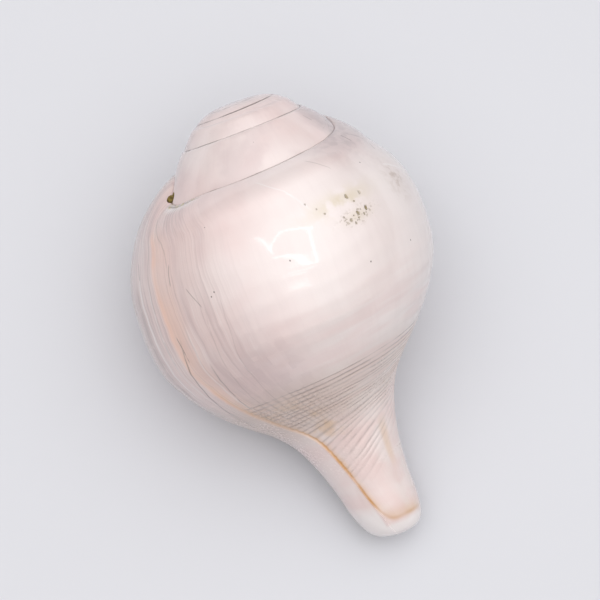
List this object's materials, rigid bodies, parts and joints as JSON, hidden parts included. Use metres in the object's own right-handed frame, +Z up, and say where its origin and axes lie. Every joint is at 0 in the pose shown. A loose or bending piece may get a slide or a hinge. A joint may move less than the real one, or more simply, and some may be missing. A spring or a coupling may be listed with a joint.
{
  "type": "conch shell",
  "caption": "Polished spiral sea shell with a swollen last turn, a low worn spire and a long tapering canal, lying on its mouth.",
  "frame": {"origin": "centre of the bounding box in plan, at the floor the shell rests on", "axes": "+Z up, +Y towards the spire, -Y towards the tip of the canal, -X towards the lip"},
  "size_m": [0.081, 0.1186, 0.0724],
  "materials": {
    "shell": "polished porcelain-like shell, cream to pale pink"
  },
  "bodies": {
    "root": {"conch_shell": "shell"}
  },
  "joints": []
}
